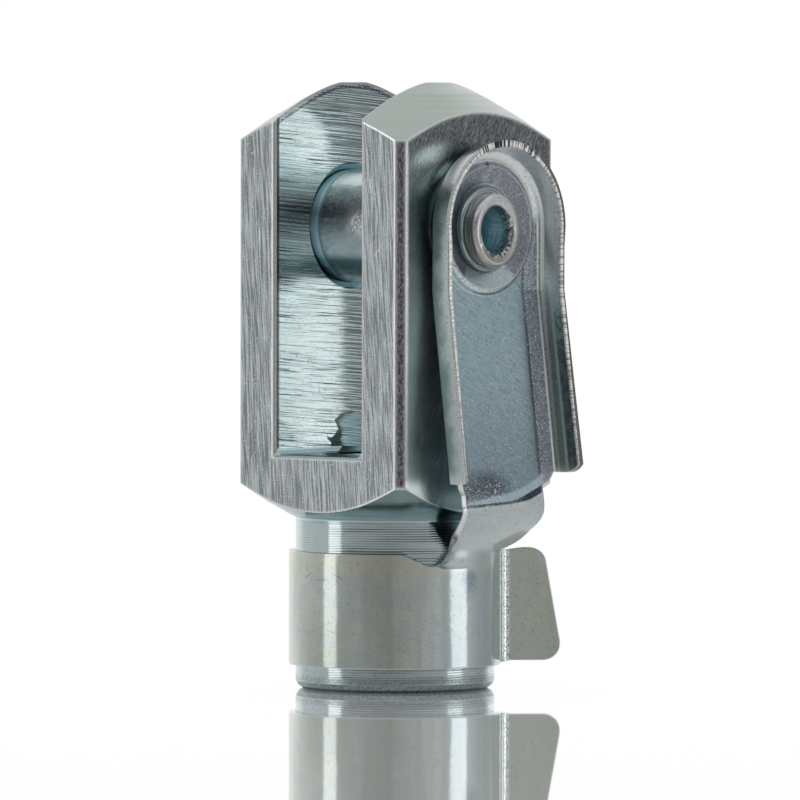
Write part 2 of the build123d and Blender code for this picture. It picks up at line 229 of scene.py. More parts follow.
def oval(across, up, place, size, tilt=(1.0, 0.0)):
    """1 on the outline of an oval at a place, less inside it and more outside."""
    right, over = across - place[0], up - place[1]
    wide = (right * tilt[0] + over * tilt[1]) / size[0]
    high = (over * tilt[0] - right * tilt[1]) / size[1]
    return distance(wide, high)


class Plating:
    """A zinc plated steel finish: node helpers, a place in millimetres and softened edges."""

    def __init__(self, name, edge_radius):
        self.material = bpy.data.materials.new(name)
        self.material.use_nodes = True
        self.material.node_tree.nodes.clear()
        self.nodes = Nodes(self.material.node_tree)
        self.colour = WHITE
        self.facing = self.nodes.axes(self.nodes.add("ShaderNodeTexCoord", out="Normal"))
        place = self.nodes.add("ShaderNodeTexCoord", out="Object")
        self.place = self.nodes.vector_math("SCALE", {0: place, "Scale": 1 / MM})
        self.x, self.y, self.z = self.nodes.axes(self.place)
        self.softened = self.rounded(edge_radius)
        self.plain = self.nodes.add("ShaderNodeNewGeometry", out="Normal")
        self.edge = (1 - self.nodes.dot(self.softened, self.plain)).rise(0.002, 0.02)

    def rounded(self, radius):
        """The shading of edges rounded to a radius."""
        return self.nodes.add("ShaderNodeBevel", {"samples": BEVEL_SAMPLES},
                              {"Radius": radius * MM})

    def rightward(self):
        """How far right a place lies, seen over the corner between front and clip side."""
        return self.x * RIGHTWARD[0] + self.y * RIGHTWARD[1]

    def streaks(self, across, along, width, length, seed, detail=2.0):
        """Noise drawn out along one direction, in widths and lengths in millimetres."""
        stretched = self.nodes.vector(across / width, along / length, seed)
        return self.nodes.noise(stretched, detail=detail)

    def mottle(self, size, seed, detail=3.0):
        moved = self.nodes.vector_math("ADD", {0: self.place, 1: (seed, seed, seed)})
        return self.nodes.noise(moved, 1 / size, detail)

    def start(self, where, first, second):
        """Begins the colour with two tones."""
        self.colour = self.nodes.blend(where, first, second)

    def paint(self, where, tone):
        """Lays a tone over the colour in some places."""
        self.colour = self.nodes.blend(where, self.colour, tone)

    def turn_towards(self, normal, share):
        """Mixes another normal into the shading. A Mix node's vectors are 4, 5 and out 1."""
        self.softened = self.nodes.add("ShaderNodeMix", {"data_type": "VECTOR"},
                                       {0: share, 4: self.softened, 5: normal}, out=1)

    def soften(self, radius, where):
        """Rounds the shading over a wider radius in some places."""
        self.turn_towards(self.rounded(radius), where)

    def lean(self, direction, where):
        """Turns the shading a little one way in some places, as a rounded or pressed edge does."""
        push = self.nodes.vector_math("SCALE", {0: direction, "Scale": where})
        pushed = self.nodes.vector_math("ADD", {0: self.softened, 1: push})
        self.softened = self.nodes.vector_math("NORMALIZE", {0: pushed})

    def finish(self, roughness, height):
        """Metal of the colour and that roughness, with a height in millimetres as its relief."""
        relief = self.nodes.add("ShaderNodeBump", None, {
            "Strength": 1.0, "Distance": MM, "Height": height, "Normal": self.softened})
        metal = self.nodes.add("ShaderNodeBsdfPrincipled", None, {
            "Base Color": self.colour, "Metallic": 1.0, "Roughness": roughness, "Normal": relief})
        self.nodes.add("ShaderNodeOutputMaterial", None, {"Surface": metal})
        return self.material


def brushed_finish():
    """Front and back faces: long fine scratches a few degrees off the bar's length."""
    steel = Plating("fork_brushed", 0.32)
    x, z = steel.x, steel.z
    across = x + z * BRUSH_SLANT
    fine = steel.streaks(across, z, 0.085, 4.0, 1.0, 1)
    thin = steel.streaks(across + z * 0.02, z, 0.16, 3.0, 2.0, 1)
    grit = steel.mottle(0.11, 8, 2)
    scratch = steel.streaks(across + z * 0.03, z, 0.09, 3.4, 3.0).rise(0.62, 0.67)
    crossing = steel.streaks(x - z * 0.9, z, 0.10, 1.6, 4.0).rise(0.68, 0.73)
    fleck = steel.mottle(0.11, 5, 1).rise(0.68, 0.72)
    cloud = steel.mottle(1.8, 11)
    tone = fine * 0.55 + thin * 0.45
    steel.start(cloud.rise(0.4, 0.6), BRUSHED_COOL, BRUSHED_GREY)
    steel.paint(tone.rise(0.43, 0.58), BRUSHED_LIGHT)
    steel.paint(grit.rise(0.54, 0.62) * 0.5, BRUSHED_DENT)
    steel.paint(scratch.at_least(crossing).at_least(fleck) * 0.8, SCRATCH_WHITE)

    # Wear and painted highlight together: bright lines along the slot's rims and bright edges.
    beside_slot = (abs(x) - HALF_SLOT).near(0.10, 0.12) * z.rise(SLOT_BASE - 0.2, SLOT_BASE)
    below_slot = z.near(SLOT_BASE - 0.1, 0.13) * (abs(x) < HALF_SLOT + 0.1)
    steel.paint(beside_slot.at_least(below_slot) * fine.rise(0.44, 0.54), SCRATCH_WHITE)
    steel.paint(steel.edge * 0.95, EDGE_WHITE)
    roughness = (0.26 + 0.10 * cloud) * (1 - steel.edge) + 0.07 * steel.edge
    steel.turn_towards(steel.plain, 0.6)
    return steel.finish(roughness, fine * 0.003 + grit * 0.003 + scratch * 0.005)


def drawn_finish():
    """The ears' outer faces: the drawn bar's satin skin, with a few crossing scratches. Painted
    shade darkens them above and painted light pales them below; beside the clip they carry painted
    highlights and a painted teal shade.
    """
    steel = Plating("fork_drawn", 0.45)
    blend = steel.nodes.blend
    y, z = steel.y, steel.z
    across = y * DRAWN_GRAIN[0] - z * DRAWN_GRAIN[1]
    along = y * DRAWN_GRAIN[1] + z * DRAWN_GRAIN[0]
    grain = steel.streaks(across, along, 0.10, 0.38, 21.0, 4)
    cloud = steel.mottle(1.3, 22)
    scratch = steel.streaks(across + along * 0.1, along, 0.07, 2.6, 23.0, 1).rise(0.64, 0.70)
    crossing = steel.streaks(along, across, 0.07, 2.0, 24.0, 1).rise(0.68, 0.73)
    grit = grain.rise(0.38, 0.64)
    # Painted shade high on the ears and painted light low on them: dark grey above, near white
    # below.
    upper = blend(grit, DRAWN_SHADE_DARK, DRAWN_SHADE_GREY)
    lower = blend(grit, DRAWN_LIT_PALE, WHITE)
    steel.start((z + cloud * 3).rise(26.0, 37.0), lower, upper)
    # Painted light: paler still near the ears' foot.
    steel.paint(1 - z.rise(13.0, 18.0), ICE_WHITE)

    clip_side = steel.x > 0
    # Painted highlights on the clip's side only: a broad gleam, and a glint whose shading is also
    # turned a little.
    gleam = oval(y, z, GLEAM_PLACE, GLEAM_SIZE, GLEAM_TILT) + (grain - 0.5) * 1.6
    steel.paint((1 - gleam.rise(0.1, 1.0)) * 0.9 * clip_side, ICE_WHITE)
    # Painted shade: a teal tone on the clip's side, near the front and below the gleam.
    teal = (1 - z.rise(34.0, 38.5)) * (1 - y.rise(-5.5, -3.5)) * z.rise(30.0, 34.0)
    steel.paint(teal * 0.5 * clip_side, DRAWN_SHADE_TEAL)
    glint = oval(y, z, GLINT_PLACE, GLINT_SIZE, GLINT_TILT) + (grain - 0.5) * 0.8
    glint = (1 - glint.rise(0.3, 1.0)) * clip_side
    steel.paint(glint * 0.9, (0.80, 1.0, 1.0))
    steel.paint(scratch.at_least(crossing * 0.6) * 0.55, (0.85, 0.88, 0.88))
    # Bright edges: wear and painted highlight together.
    steel.paint(steel.edge * 0.95, EDGE_WHITE)
    roughness = (0.24 + 0.14 * cloud) * (1 - steel.edge) + 0.07 * steel.edge
    steel.lean((0.0, -0.05, 0.0), (1 - z.rise(26.0, 33.0)) * (1 - steel.edge))
    steel.lean((0.0, -0.15, 0.0), glint)
    return steel.finish(roughness, grain * 0.0015 + scratch * 0.003 + cloud * 0.02)


def floor_stain_and_shade(steel, shore):
    """The slot's floor: pale, then painted shade and the teal of the walls' stain further right.
    """
    blend = steel.nodes.blend
    pool = steel.rightward() + (shore - 0.5) * 1.5
    wet = blend(pool.rise(POOL_MIDDLE, POOL_MIDDLE + 1.4), POOL_SHADE, POOL_TEAL)
    return blend(pool.rise(POOL_START, POOL_START + 0.3), POOL_PALE, wet)


def milled_finish():
    """Slot walls: uneven feed lines of the side mill over a bright ice-blue plating."""
    steel = Plating("fork_milled", 0.08)
    blend = steel.nodes.blend
    y, z = steel.y, steel.z
    level = z + y * 0.075 + steel.mottle(8.0, 31, 1) * 0.2
    feed = steel.streaks(level, y, 0.085, 30.0, 32.0, 0)
    deep = steel.streaks(level, y, 0.060, 5.0, 33.0, 2)
    group = steel.streaks(level, y, 0.8, 30.0, 34.0, 1)
    grit = steel.mottle(0.10, 36, 2)
    cut = deep.rise(0.58, 0.63) * group.rise(0.34, 0.54)
    speck = steel.mottle(0.13, 35, 3).rise(0.63, 0.68)
    line = feed.rise(0.48, 0.60)
    steel.start(feed.rise(0.28, 0.46), MILLED_BLUE, MILLED_WHITE)
    steel.paint(grit.rise(0.52, 0.66) * 0.25, (0.54, 0.68, 0.72))

    left = steel.x < 0
    # Painted shade: the left wall turns dark towards the back past a ragged line that moves
    # forward higher up, lighter on the feed lines.
    wander = steel.nodes.noise(steel.nodes.vector(0.0, 37.0, level / 0.3))
    upper_shift = z.rise(33.0, 38.0) * 1.6 + z.rise(39.0, 41.0) * 2.2
    painted_dark_side = (y + wander * 3.6 + upper_shift).rise(0.1, 1.3)
    steel.paint(painted_dark_side * (0.84 - 0.74 * line) * left, MILLED_SHADE)
    # Painted shade on the walls around the pin's height at the front, lighter on the feed lines.
    painted_shade_by_pin = z.near(PIN_HEIGHT + 0.8, 3.2) * (1 - y.rise(-4.0, -2.5))
    steel.paint(painted_shade_by_pin * (0.98 - 0.85 * line), MILLED_PIN_SHADE)

    above_floor = z - SLOT_BASE
    lobes = abs((z * 2.6 + (grit - 0.5) * 0.6).sine()) * 0.7
    shore = steel.nodes.noise(steel.nodes.vector(36.0, y / 1.5, z / 0.9), detail=1.0)
    inland = (y - STAIN_START - above_floor * 0.55 + lobes + (shore - 0.5) * 2.2) * left
    stain_top = (above_floor + shore * 0.8).rise(STAIN_HEIGHT, STAIN_HEIGHT + 0.2)
    outline = 1 - (inland - (1 - above_floor.rise(1.1, 2.1)) * 0.6).rise(0.5, 1.5)
    shore_tone = blend(above_floor.rise(1.1, 1.9), STAIN_FOOT, STAIN_EDGE)
    stain = inland.rise(0.0, 0.16) * (1 - stain_top) * outline.at_least(0.85 - 0.3 * line)
    steel.paint(stain, blend(outline, STAIN_TEAL, shore_tone))
    steel.paint((cut * 0.95).at_least(speck * 0.65), (0.05, 0.10, 0.11))

    past_flat = (distance(steel.x, y) - CROWN_FLAT).at_least(0)
    to_crown = CROWN_TOP - z - past_flat * CROWN_SLOPE
    steel.paint(to_crown.near(0.42, 0.22) * grit.rise(0.40, 0.50), (0.05, 0.08, 0.09))
    steel.paint((1 - to_crown.rise(0.20, 0.30)) * 0.9, (0.48, 0.50, 0.51))
    # The slot's floor: painted shade and stain, with its shading turned towards the front.
    slot_floor = z < SLOT_BASE + 0.05
    steel.paint(slot_floor, floor_stain_and_shade(steel, shore))
    steel.paint((1 - y.rise(-7.65, -7.45)) * 0.9, (0.05, 0.07, 0.08))
    steel.lean((0.0, -0.5, 0.0), slot_floor)
    roughness = (0.12 + 0.10 * group) * (1 - slot_floor) + 0.05 * slot_floor
    return steel.finish(roughness, (feed * 0.006 - cut * 0.018) * (1 - slot_floor))


def corner_finish():
    """The bar's broken long edges and small chamfers: dark, with dents and bright specks."""
    steel = Plating("fork_corner", 0.45)
    spot = steel.streaks(steel.x * 1.4, steel.z, 0.14, 0.35, 41.0, 3)
    speck = steel.mottle(0.10, 42, 2).rise(0.66, 0.74)
    steel.start(spot.rise(0.44, 0.58), CORNER_DARK, CORNER_GREY)
    steel.paint(speck * 0.8, (0.9, 0.9, 0.92))
    # Bright edges: wear and painted highlight together.
    steel.paint(steel.edge, WHITE)
    return steel.finish(0.24 - 0.17 * steel.edge, spot * 0.02 * (1 - steel.edge))


def turned_finish():
    """Crown, cone, neck, bores and thread: fine rings left by the lathe tool."""
    steel = Plating("fork_turned", 0.08)
    blend = steel.nodes.blend
    x, z = steel.x, steel.z
    radius = distance(x, steel.y)
    on_neck = (1 - z.rise(NECK_TOP - 0.3, NECK_TOP - 0.2)) * (radius > NECK_RADIUS - 0.02)
    on_crown = z.rise(CROWN_START - 1, CROWN_START - 0.5)
    uneven = steel.streaks(z + radius * 0.55, radius, 0.35, 9.0, 51.0)
    feed = steel.streaks(z, radius, 0.10, 9.0, 53.0, 2)
    rightward = steel.rightward()
    ring = (z * (2 * pi / LATHE_FEED)).sine() * 0.5 + 0.5
    ring = ring * (0.4 + 0.6 * rightward.rise(-6.0, -3.2))
    ring = ring * (0.7 + steel.streaks(z, x, 0.5, 6.0, 56.0, 2).rise(0.35, 0.6) * 0.3)
    cloud = steel.mottle(2.2, 52)
    speck = steel.mottle(0.10, 54, 2).rise(0.70, 0.76)
    patchy = steel.mottle(0.16, 55, 4)

    # Painted shade and light: the neck darker on its left, lighter on its right.
    neck_painted_shading = blend(rightward.rise(-6.4, -4.8), NECK_SHADED_LEFT, NECK_LIT_RIGHT)
    steel.start(cloud.rise(0.3, 0.7), TURNED_BLUE, TURNED_LIGHT)
    steel.paint(on_neck * 0.8, neck_painted_shading)
    steel.paint(on_crown, CROWN_GREEN)
    crown_line = on_crown * feed.rise(0.5, 0.65) * (0.12 + 0.3 * rightward.rise(0.0, 4.0))
    steel.paint(crown_line, CROWN_LINE)
    # Painted shade in the lathe grooves: dark rings on the neck, fainter to the left.
    steel.paint(ring.rise(0.5, 0.95) * on_neck * 0.75, (0.12, 0.15, 0.18))

    neck_end = (1 - z.rise(0.8, 1.15)) * (radius > COUNTERSINK_RADIUS + 0.5)
    end_tone = blend(patchy.rise(0.42, 0.58), NECK_END_DARK, NECK_END_LIGHT)
    steel.paint(neck_end * 0.85, end_tone)
    patches = on_neck * patchy.rise(0.54, 0.60) * (1 - z.rise(1.6, 2.4))
    steel.paint(patches * 0.4, (0.30, 0.34, 0.36))
    steel.paint(speck * 0.3, (0.20, 0.25, 0.27))
    # The bore's mouth takes the slot floor's painted shade and stain.
    mouth = z.rise(SLOT_BASE - 0.9, SLOT_BASE - 0.8) * (radius < COUNTERSINK_RADIUS + 0.1)
    steel.paint(mouth * (1 - on_crown), floor_stain_and_shade(steel, cloud))
    # Bright edges, the crown's rim and a pale line at the neck's top: wear and painted highlight
    # together.
    steel.paint(on_crown * steel.edge, WHITE)
    steel.paint(z.near(NECK_TOP, 0.10) * (radius < NECK_RADIUS + 0.2) * 0.9, PALE_STEEL)
    steel.paint(steel.edge * 0.7, (0.93, 0.95, 0.95))
    roughness = 0.14 + 0.08 * cloud + on_crown * 0.20 - on_neck * 0.10 + neck_end * 0.16
    height = ring * on_neck * 0.010 + uneven * (1 - on_neck) * 0.008 + feed * on_crown * 0.004
    return steel.finish(roughness, height)


def thread_tree(material):
    """Geometry nodes for an internal thread: a tube whose radius follows the helix."""
    tree = bpy.data.node_groups.new("tapped_thread", "GeometryNodeTree")
    face = tree.interface
    face.new_socket("Geometry", in_out="OUTPUT", socket_type="NodeSocketGeometry")
    for name in ("Length", "Pitch", "Minor Radius", "Major Radius", "Mouth Radius"):
        face.new_socket(name, in_out="INPUT", socket_type="NodeSocketFloat")
    nodes = Nodes(tree)
    given = tree.nodes.new("NodeGroupInput").outputs
    length, pitch, minor, major, mouth = [Link(nodes, given[index]) for index in range(5)]
    tube = nodes.add("GeometryNodeMeshCylinder", {"fill_type": "NONE"}, {
        "Vertices": THREAD_SIDES, "Side Segments": THREAD_RINGS, "Radius": 1.0, "Depth": length})
    x, y, z = nodes.axes(nodes.add("GeometryNodeInputPosition"))
    height = z + length / 2
    phase = (height / pitch - y.angle(x) / (2 * pi)).fraction()
    groove = (1 - abs(phase - 0.5) * 2 - THREAD_CREST) / THREAD_FLANK
    profile = minor + (major - minor) * groove.at_least(0).at_most(1)
    lower = mouth - height
    upper = mouth - length + height
    radius = profile.at_least(lower).at_least(upper)
    moved = nodes.vector(x * radius, y * radius, height)
    shaped = nodes.add("GeometryNodeSetPosition", None, {"Geometry": tube, "Position": moved})
    inward = nodes.add("GeometryNodeFlipFaces", None, {"Mesh": shaped})
    real = nodes.add("GeometryNodeRealizeInstances", None, {"Geometry": inward})
    painted = nodes.add("GeometryNodeSetMaterial", None, {"Geometry": real, "Material": material})
    out = tree.nodes.new("NodeGroupOutput")
    tree.links.new(painted.socket, out.inputs[0])
    return tree


def grown(name, tree, sizes):
    """The plain mesh that a geometry node tree makes from named sizes."""
    carrier = bpy.data.objects.new(name, bpy.data.meshes.new(name))
    bpy.context.scene.collection.objects.link(carrier)
    growth = carrier.modifiers.new("growth", "NODES")
    growth.node_group = tree
    for item in tree.interface.items_tree:
        if item.in_out == "INPUT" and item.name in sizes:
            growth[item.identifier] = sizes[item.name]
    evaluated = carrier.evaluated_get(bpy.context.evaluated_depsgraph_get())
    mesh = bpy.data.meshes.new_from_object(evaluated)
    bpy.data.objects.remove(carrier)
    return mesh


FORK_FINISHES = [
    brushed_finish(), drawn_finish(), milled_finish(), corner_finish(), turned_finish()]
BRUSHED, DRAWN, MILLED, CORNER, TURNED = range(5)


def fork_finish_at(centre, normal):
    """Which of the fork's finishes a face has, from its place and the way it looks."""
    x, y, z = centre / MM
    across, along, up = [abs(part) for part in normal]
    square_on, slanted, close = 0.99, 0.3, 0.1
    if z < NECK_TOP + close or z > CROWN_START and up > slanted:
        return TURNED
    if up > square_on and z < SLOT_BASE + close:
        return MILLED
    if along > square_on and abs(y) > HALF_BAR - close:
        return BRUSHED
    if across > square_on and abs(x) > HALF_BAR - close:
        return DRAWN
    if across > square_on and abs(x) < HALF_SLOT + close:
        return MILLED
    if across > slanted and along > slanted and up < close and abs(y) > HALF_BAR - 1:
        return CORNER
    return TURNED


def shade_smooth(shape, crease_angle):
    """Smooth faces with a crease at every edge that turns by more than an angle."""
    for face in shape.faces:
        face.smooth = True
    for edge in shape.edges:
        edge.smooth = len(edge.link_faces) == 2 and edge.calc_face_angle() < radians(crease_angle)


def fork_mesh():
    """The fork head's own faces, with the plain tapping bore opened for a real thread."""
    shape = bmesh.new()
    shape.from_mesh(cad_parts["fork_head"].data)
    bmesh.ops.remove_doubles(shape, verts=shape.verts, dist=WELD_DISTANCE * MM)
    bore = []
    for face in shape.faces:
        centre = face.calc_center_median() / MM
        rim = max(Vector(vertex.co[:2]).length for vertex in face.verts) / MM
        if rim < COUNTERSINK_RADIUS + 0.02 and centre.z < SLOT_BASE + 0.01:
            bore.append(face)
    bmesh.ops.delete(shape, geom=bore, context="FACES")
    for face in shape.faces:
        face.material_index = fork_finish_at(face.calc_center_median(), face.normal)
    shade_smooth(shape, FORK_CREASE_ANGLE)
    thread = grown("thread", thread_tree(FORK_FINISHES[TURNED]), {
        "Length": SLOT_BASE * MM,
        "Pitch": THREAD_PITCH * MM,
        "Minor Radius": THREAD_MINOR_RADIUS * MM,
        "Major Radius": THREAD_MAJOR_RADIUS * MM,
        "Mouth Radius": COUNTERSINK_RADIUS * MM,
    })
    count = len(shape.faces)
    shape.from_mesh(thread)
    shape.faces.ensure_lookup_table()
    for face in shape.faces[count:]:
        face.material_index = TURNED
        face.smooth = True
    mesh = bpy.data.meshes.new("fork_head_tapped")
    shape.to_mesh(mesh)
    shape.free()
    for material in FORK_FINISHES:
        mesh.materials.append(material)
    return mesh


def placed(name, mesh):
    """A piece in the scene, at the origin, from its mesh."""
    piece = bpy.data.objects.new(name, mesh)
    bpy.context.scene.collection.objects.link(piece)
    return piece


fork = placed("fork_head_tapped", fork_mesh())
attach(fork, "fork")
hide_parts("fork_head")


# Clevis pin. Turned steel, 8 mm, plated like the fork. Its right end is a hollow spigot that is
# pushed through the clip's boss and riveted over it, which leaves a bead, a tube and a rolled lip.

PIN_RADIUS = 3.96
PIN_TIP = -9.3
PIN_TIP_CHAMFER = 0.9
PIN_TIP_EDGE = 0.12
PIN_SHOULDER = 8.05
PIN_SHOULDER_RADIUS = 3.5
SPIGOT_RADIUS = 2.6
DISH_FACE = 8.5
BEAD_RADIUS = 0.16
BEAD_MIDDLE = 2.84
TUBE_RADIUS = 2.62
RIDGE_RADIUS = 0.07
RIDGE_PLACES = (0.46, 0.66)
LIP_ROUND = 0.42
SPIGOT_END = 9.75
HOLE_RADIUS = 1.72
BEND_LENGTH = 0.5
TUBE_SIDEWAYS = 0.06
TUBE_DROP = 0.20
HOLE_SIDEWAYS = 0.06
HOLE_DROP = 0.26
LIP_TILT = 0.10
HOLE_BOTTOM = 6.55
PIN_SEGMENTS = 128
PIN_CREASE_ANGLE = 40
TEAR_SEED = 7
TEAR_REACH = 0.5
TEAR_DEPTH = 0.12
TEAR_STEP = 0.09
TEAR_PLACE = (-1.72, -0.85)
TEAR_SIZE = (0.24, 0.60)
# The stretch of the pin in the slot, which carries painted shade and highlights, starts at the
# left slot wall.
SLOT_STRETCH_START = -3.7
RIDGE_PITCH = 0.15

PIN_BLUE, PIN_LIGHT = (0.62, 0.76, 0.80), (0.72, 0.84, 0.87)
PIN_SHADE_BROWN, PIN_HIGHLIGHT, PIN_REFLECTION_TEAL = (0.20, 0.19, 0.21), (0.95, 0.96, 0.97), (0.20, 0.34, 0.36)
LIP_SHADED, LIP_LIT, LIP_WARM = (0.62, 0.61, 0.61), (0.86, 0.85, 0.86), (0.50, 0.45, 0.38)
BORE_TEAL, BORE_LIGHT, BORE_SHADE = (0.38, 0.58, 0.65), (0.60, 0.86, 0.94), (0.14, 0.20, 0.20)
CHIP_DARK, CHIP_GREY = (0.10, 0.15, 0.15), (0.42, 0.50, 0.48)


def arc(centre, radius, start, end, steps):
    """Points of an arc in the pin's section: places along X against radii, angles in degrees."""
    points = []
    for step in range(steps + 1):
        angle = radians(start + (end - start) * step / steps)
        points.append((centre[0] + radius * cos(angle), centre[1] + radius * sin(angle)))
    return points


def pin_section():
    """Half of the pin's section, from the tip's middle to the hole's bottom."""
    edge = PIN_TIP_EDGE
    section = [
        (PIN_TIP, 0),
        *arc((PIN_TIP + edge, PIN_RADIUS - PIN_TIP_CHAMFER - edge), edge, 180, 112.5, 4),
        *arc((PIN_TIP + PIN_TIP_CHAMFER + edge, PIN_RADIUS - edge), edge, 135, 90, 4),
        (PIN_SHOULDER - PIN_RADIUS + PIN_SHOULDER_RADIUS, PIN_RADIUS),
        (PIN_SHOULDER, PIN_SHOULDER_RADIUS),
        (PIN_SHOULDER, SPIGOT_RADIUS),
        (DISH_FACE, SPIGOT_RADIUS),
        *arc((DISH_FACE + BEAD_RADIUS, BEAD_MIDDLE), BEAD_RADIUS, 180, 0, 8),
        (DISH_FACE + 0.34, TUBE_RADIUS - 0.04),
    ]
    for place in RIDGE_PLACES:
        section += arc((DISH_FACE + place, TUBE_RADIUS - 0.08), RIDGE_RADIUS, 170, 10, 4)
    lip = SPIGOT_END - LIP_ROUND
    return section + [
        *arc((lip, TUBE_RADIUS - LIP_ROUND), LIP_ROUND, 90, 0, 12),
        *arc((lip, HOLE_RADIUS + LIP_ROUND), LIP_ROUND, 0, -80, 12)[1:],
        (SPIGOT_END - 0.9, HOLE_RADIUS + 0.01),
        (HOLE_BOTTOM, HOLE_RADIUS),
        (HOLE_BOTTOM - 1, 0),
    ]


def pin_mesh():
    """The pin's section turned round its own axis, with the rivet's lip tilted and torn."""
    shape = bmesh.new()
    rows = [shape.verts.new((x * MM, 0, radius * MM)) for x, radius in pin_section()]
    edges = [shape.edges.new(pair) for pair in zip(rows, rows[1:])]
    bmesh.ops.spin(shape, geom=rows + edges, cent=(0, 0, 0), axis=(1, 0, 0),
                   angle=2 * pi, steps=PIN_SEGMENTS, use_merge=True)
    bmesh.ops.remove_doubles(shape, verts=shape.verts, dist=WELD_DISTANCE * MM)
    bmesh.ops.recalc_face_normals(shape, faces=shape.faces)
    chance = random.Random(TEAR_SEED)
    crest = (TUBE_RADIUS + HOLE_RADIUS) / 2
    for vertex in shape.verts:
        x, y, up = vertex.co / MM
        radius = (y * y + up * up) ** 0.5
        bent = max(0, min(1, (x - DISH_FACE) / BEND_LENGTH))
        vertex.co.x -= y * LIP_TILT * bent * MM
        if radius > crest and x > DISH_FACE:
            vertex.co += Vector((0, TUBE_SIDEWAYS, -TUBE_DROP)) * bent * MM
        if x < HOLE_BOTTOM - 0.5 or radius > crest or radius < 0.1:
            continue
        inward = min(1, (crest - radius) / (crest - HOLE_RADIUS))
        torn = max(0, 0.6 - (up * 0.8 - y * 0.5) / radius) * (x > SPIGOT_END - TEAR_REACH) * inward
        ragged = 1 - chance.uniform(0, TEAR_DEPTH) * torn
        sideways = y * ragged + TUBE_SIDEWAYS + (HOLE_SIDEWAYS - TUBE_SIDEWAYS) * inward
        height = up * ragged - TUBE_DROP - (HOLE_DROP - TUBE_DROP) * inward
        sunk = y * LIP_TILT * bent + chance.uniform(0, TEAR_STEP) * torn
        vertex.co = Vector((x - sunk, sideways, height)) * MM
    bmesh.ops.translate(shape, verts=shape.verts, vec=(0, 0, PIN_HEIGHT * MM))
    shade_smooth(shape, PIN_CREASE_ANGLE)
    mesh = bpy.data.meshes.new("riveted_pin")
    shape.to_mesh(mesh)
    shape.free()
    return mesh


